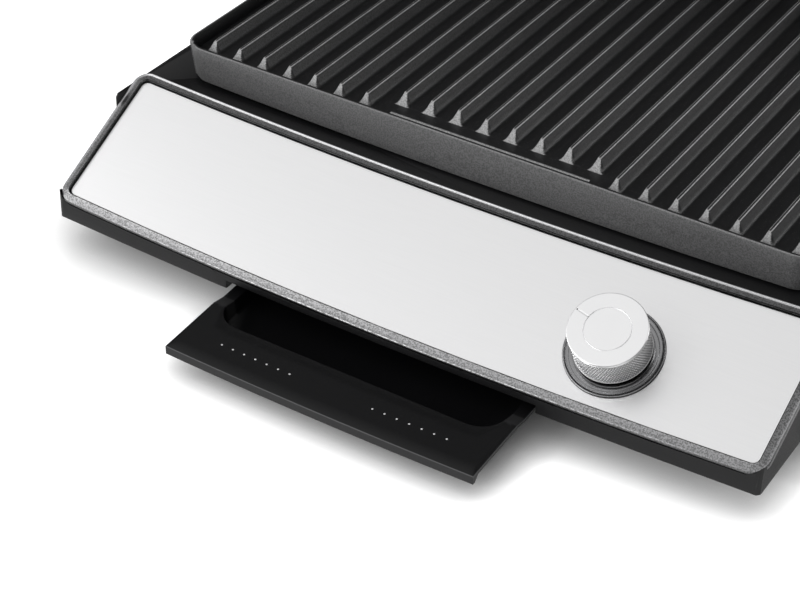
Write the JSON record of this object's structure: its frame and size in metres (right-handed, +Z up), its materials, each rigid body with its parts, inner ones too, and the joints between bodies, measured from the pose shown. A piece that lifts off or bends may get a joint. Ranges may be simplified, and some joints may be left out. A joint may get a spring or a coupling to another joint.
{
  "type": "electric grill",
  "caption": "Countertop contact grill with ribbed cast plates, a hinged lid, a sloping control panel with one turning knob and a drip tray that slides out at the front.",
  "frame": {"origin": "middle of the object's bounding box at table level, with the lid open and the tray part way out as pictured", "axes": "+X to the user's right, +Y away from the user towards the hinge, +Z up"},
  "size_m": [0.3546, 0.4594, 0.391],
  "materials": {
    "brushed_metal": "fine brushed, lengthwise",
    "satin_grey": "fine textured satin",
    "black_moulding": "fine satin, moulded",
    "cast_coating": "cast, with a speckled dark release coating",
    "tray_black": "satin moulded",
    "knob_metal": "turned cap, knurled side",
    "bezel_dark": "polished dark",
    "plain_steel": "zinc plated, plain",
    "heater_steel": "heat darkened",
    "rubber": "matt",
    "cream_plastic": "moulded"
  },
  "bodies": {
    "base": {"base_housing": "black_moulding", "bottom_cover": "plain_steel", "foot_front_left": "rubber", "foot_rear_left": "rubber", "foot_front_right": "rubber", "foot_rear_right": "rubber", "cover_screw_front_left": "plain_steel", "cover_screw_rear_left": "plain_steel", "cover_screw_front_right": "plain_steel", "cover_screw_rear_right": "plain_steel", "cable_gland": "black_moulding", "tray_rail_left": "plain_steel", "hinge_pin_left": "plain_steel", "lower_plate_bar_left": "plain_steel", "tray_rail_right": "plain_steel", "hinge_pin_right": "plain_steel", "lower_plate_bar_right": "plain_steel", "lower_plate": "cast_coating", "lower_heater": "heater_steel", "lower_reflector": "plain_steel", "drain_chute": "plain_steel", "control_panel": "brushed_metal", "panel_trim": "satin_grey", "knob_bezel": "bezel_dark", "thermostat_bracket": "plain_steel", "thermostat": "cream_plastic"},
    "knob": {"knob_sleeve": "knob_metal", "knob_cap": "knob_metal", "thermostat_shaft": "plain_steel"},
    "tray": {"drip_tray": "tray_black"},
    "lid": {"lid_housing": "black_moulding", "lid_panel": "brushed_metal", "upper_plate": "cast_coating", "upper_heater": "heater_steel", "upper_reflector": "plain_steel", "handle_grip": "brushed_metal", "handle_post_left": "black_moulding", "hinge_arm_left": "plain_steel", "upper_plate_bar_left": "plain_steel", "handle_post_right": "black_moulding", "hinge_arm_right": "plain_steel", "upper_plate_bar_right": "plain_steel"}
  },
  "joints": [
    {"name": "knob_turn", "type": "hinge", "parent": "base", "child": "knob", "pos_m": [0.0964, -0.15498, 0.03732], "axis": [0, 0.4648, -0.8854], "range_deg": [0, 230]},
    {"name": "tray_slide", "type": "slide", "parent": "base", "child": "tray", "axis": [0, -0.9984, -0.057], "range_m": [-0.0459, 0.05]},
    {"name": "lid_hinge", "type": "hinge", "parent": "base", "child": "lid", "pos_m": [0, 0.14079, 0.086], "axis": [-1, 0, 0], "range_deg": [-100, 0]}
  ]
}
